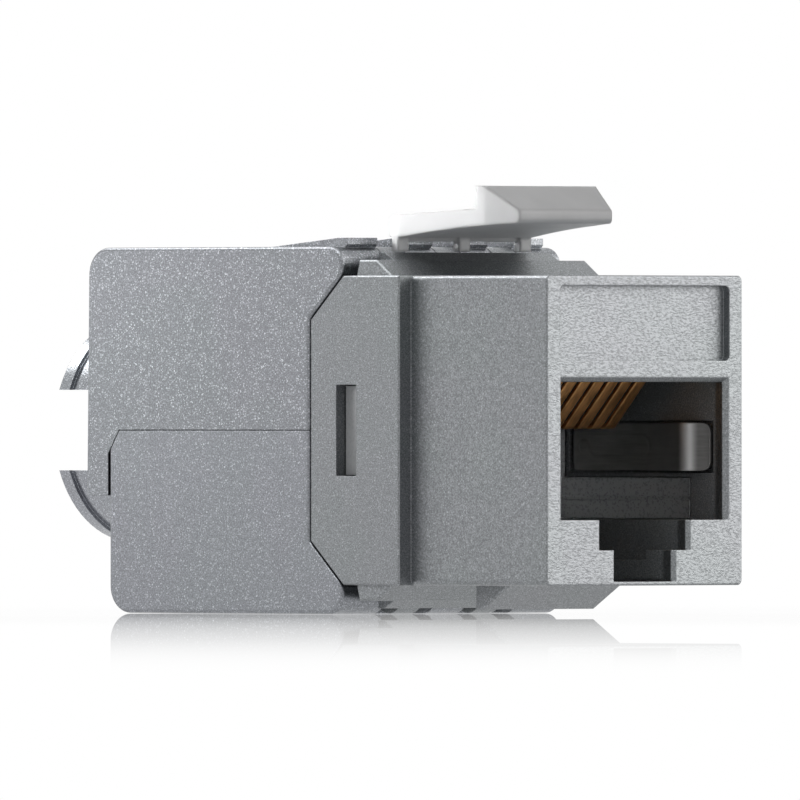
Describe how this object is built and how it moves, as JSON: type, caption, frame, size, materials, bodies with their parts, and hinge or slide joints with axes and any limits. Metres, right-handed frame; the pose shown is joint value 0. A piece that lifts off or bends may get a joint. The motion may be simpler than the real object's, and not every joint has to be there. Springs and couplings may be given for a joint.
{
  "type": "keystone jack",
  "caption": "Shielded tool-less keystone jack in die-cast metal with a socket at the front, hinged covers with a cable collar and a snap latch.",
  "frame": {"origin": "centre of the front face of the socket block", "axes": "+X out of the socket, +Z towards the latch, +Y across to the far side"},
  "size_m": [0.0374, 0.0164, 0.0221],
  "materials": {
    "cast_zinc": "die-cast zinc with a fine bright grain",
    "latch_plastic": "smooth pale grey moulded plastic",
    "black_plastic": "black moulded plastic",
    "manager_plastic": "pale moulded plastic",
    "gold": "gold plated wire",
    "tinned": "tinned bronze sheet",
    "board": "green solder mask",
    "steel": "ground steel pin",
    "spring_steel": "bright rolled spring sheet"
  },
  "bodies": {
    "housing": {"housing": "cast_zinc", "contact_carrier": "black_plastic", "terminal_block": "black_plastic", "circuit_board": "board", "wire_manager": "manager_plastic", "upper_hinge_pin": "steel", "lower_hinge_pin": "steel", "shield_spring_left": "spring_steel", "shield_spring_right": "spring_steel", "contact_wire_1": "gold", "contact_wire_2": "gold", "contact_wire_3": "gold", "contact_wire_4": "gold", "contact_wire_5": "gold", "contact_wire_6": "gold", "contact_wire_7": "gold", "contact_wire_8": "gold", "idc_terminal_1": "tinned", "idc_terminal_2": "tinned", "idc_terminal_3": "tinned", "idc_terminal_4": "tinned", "idc_terminal_5": "tinned", "idc_terminal_6": "tinned", "idc_terminal_7": "tinned", "idc_terminal_8": "tinned"},
    "upper_cover": {"upper_cover": "cast_zinc"},
    "lower_cover": {"lower_cover": "cast_zinc"},
    "latch": {"latch": "latch_plastic"}
  },
  "joints": [
    {"name": "upper_cover_hinge", "type": "hinge", "parent": "housing", "child": "upper_cover", "pos_m": [-0.01491, 0, 0.0085], "axis": [0, 1, 0], "range_deg": [0, 80]},
    {"name": "lower_cover_hinge", "type": "hinge", "parent": "housing", "child": "lower_cover", "pos_m": [-0.01491, 0, -0.0085], "axis": [0, -1, 0], "range_deg": [0, 80]},
    {"name": "latch_press", "type": "hinge", "parent": "housing", "child": "latch", "pos_m": [-0.013, 0, 0.00925], "axis": [0, 1, 0], "range_deg": [0, 15], "stiffness_Nm_per_rad": 0.25}
  ],
  "couplings": [
    {"joint": "lower_cover_hinge", "follows": "upper_cover_hinge", "ratio": 1}
  ]
}
